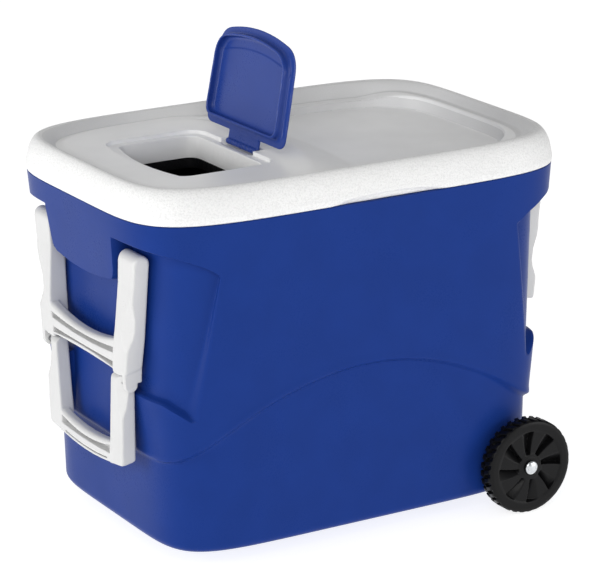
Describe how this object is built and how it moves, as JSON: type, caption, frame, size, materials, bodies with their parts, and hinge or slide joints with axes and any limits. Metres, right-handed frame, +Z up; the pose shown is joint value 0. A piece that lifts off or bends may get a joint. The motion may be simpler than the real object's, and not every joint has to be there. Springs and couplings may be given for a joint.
{
  "type": "wheeled cooler",
  "caption": "Insulated box cooler with a hinged lid, a drinks hatch in the lid, a folding carry handle at each end, a tow link and a pair of rear wheels.",
  "frame": {"origin": "on the floor, under the middle of the box", "axes": "+X towards the wheel end, -X towards the tow handle, -Y towards the front with the finger grip, +Z up"},
  "size_m": [0.6, 0.4476, 0.614],
  "materials": {
    "blue_shell": "royal blue moulded plastic, fine satin gloss",
    "blue_hatch": "royal blue moulded plastic, satin",
    "black_liner": "black pebbled plastic",
    "foam": "rigid insulation foam, cream",
    "white_lid": "white plastic, pebbled rim and smooth pale recess",
    "white_handle": "white moulded plastic, satin",
    "white_fittings": "white moulded plastic",
    "gasket": "black rubber",
    "steel": "drawn steel rod",
    "zinc": "bright zinc plate",
    "black_wheel": "black moulded plastic, satin"
  },
  "bodies": {
    "box": {"outer_shell": "blue_shell", "foot_front": "blue_shell", "foot_rear": "blue_shell", "inner_liner": "black_liner", "body_foam": "foam", "drain_spout": "white_fittings", "lid_hinge_box_leaf_tow_side": "white_fittings", "lid_hinge_box_leaf_wheel_side": "white_fittings", "drain_gasket": "gasket", "axle": "steel", "handle_pin_wheel_end_front": "steel", "handle_pin_wheel_end_rear": "steel", "handle_pin_tow_end_front": "steel", "handle_pin_tow_end_rear": "steel", "push_cap_front": "zinc", "push_cap_rear": "zinc", "hinge_screw_box_tow_1": "zinc", "hinge_screw_box_tow_2": "zinc", "hinge_screw_box_wheel_1": "zinc", "hinge_screw_box_wheel_2": "zinc", "wheel_spacer_front": "black_wheel", "wheel_spacer_rear": "black_wheel"},
    "lid": {"lid_top": "white_lid", "lid_liner": "black_liner", "lid_foam": "foam", "hatch_pin": "steel", "lid_hinge_lid_leaf_tow_side": "white_fittings", "lid_hinge_lid_leaf_wheel_side": "white_fittings", "lid_hinge_pin_tow_side": "steel", "lid_hinge_pin_wheel_side": "steel", "hinge_screw_lid_tow_1": "zinc", "hinge_screw_lid_tow_2": "zinc", "hinge_screw_lid_wheel_1": "zinc", "hinge_screw_lid_wheel_2": "zinc"},
    "hatch": {"hatch_door": "blue_hatch"},
    "handle_wheel_end": {"carry_handle_wheel_end": "white_handle"},
    "handle_tow_end": {"carry_handle_tow_end": "white_handle", "knuckle_pin_front": "steel", "knuckle_pin_rear": "steel"},
    "tow_link": {"tow_link": "white_handle"},
    "wheel_front": {"wheel_front": "black_wheel"},
    "wheel_rear": {"wheel_rear": "black_wheel"},
    "drain_cap": {"drain_cap": "white_fittings"}
  },
  "joints": [
    {"name": "lid_hinge", "type": "hinge", "parent": "box", "child": "lid", "pos_m": [0, 0.216, 0.4414], "axis": [-1, 0, 0], "range_deg": [0, 100]},
    {"name": "hatch_hinge", "type": "hinge", "parent": "lid", "child": "hatch", "pos_m": [-0.066, 0, 0.4715], "axis": [0, 1, 0], "range_deg": [-101, 0]},
    {"name": "carry_handle_wheel_end_swing", "type": "hinge", "parent": "box", "child": "handle_wheel_end", "pos_m": [0.279, 0, 0.3865], "axis": [0, -1, 0], "range_deg": [0, 110]},
    {"name": "carry_handle_tow_end_swing", "type": "hinge", "parent": "box", "child": "handle_tow_end", "pos_m": [-0.279, 0, 0.3865], "axis": [0, 1, 0], "range_deg": [0, 110]},
    {"name": "tow_link_fold", "type": "hinge", "parent": "handle_tow_end", "child": "tow_link", "pos_m": [-0.2856, 0, 0.2315], "axis": [0, 1, 0], "range_deg": [0, 90]},
    {"name": "wheel_front_spin", "type": "hinge", "parent": "box", "child": "wheel_front", "pos_m": [0.22, -0.2045, 0.0615], "axis": [0, 1, 0], "continuous": true},
    {"name": "wheel_rear_spin", "type": "hinge", "parent": "box", "child": "wheel_rear", "pos_m": [0.22, 0.2045, 0.0615], "axis": [0, 1, 0], "continuous": true},
    {"name": "drain_cap_turn", "type": "hinge", "parent": "box", "child": "drain_cap", "pos_m": [0.27, 0, 0.1], "axis": [1, 0, 0], "range_deg": [0, 360]}
  ]
}
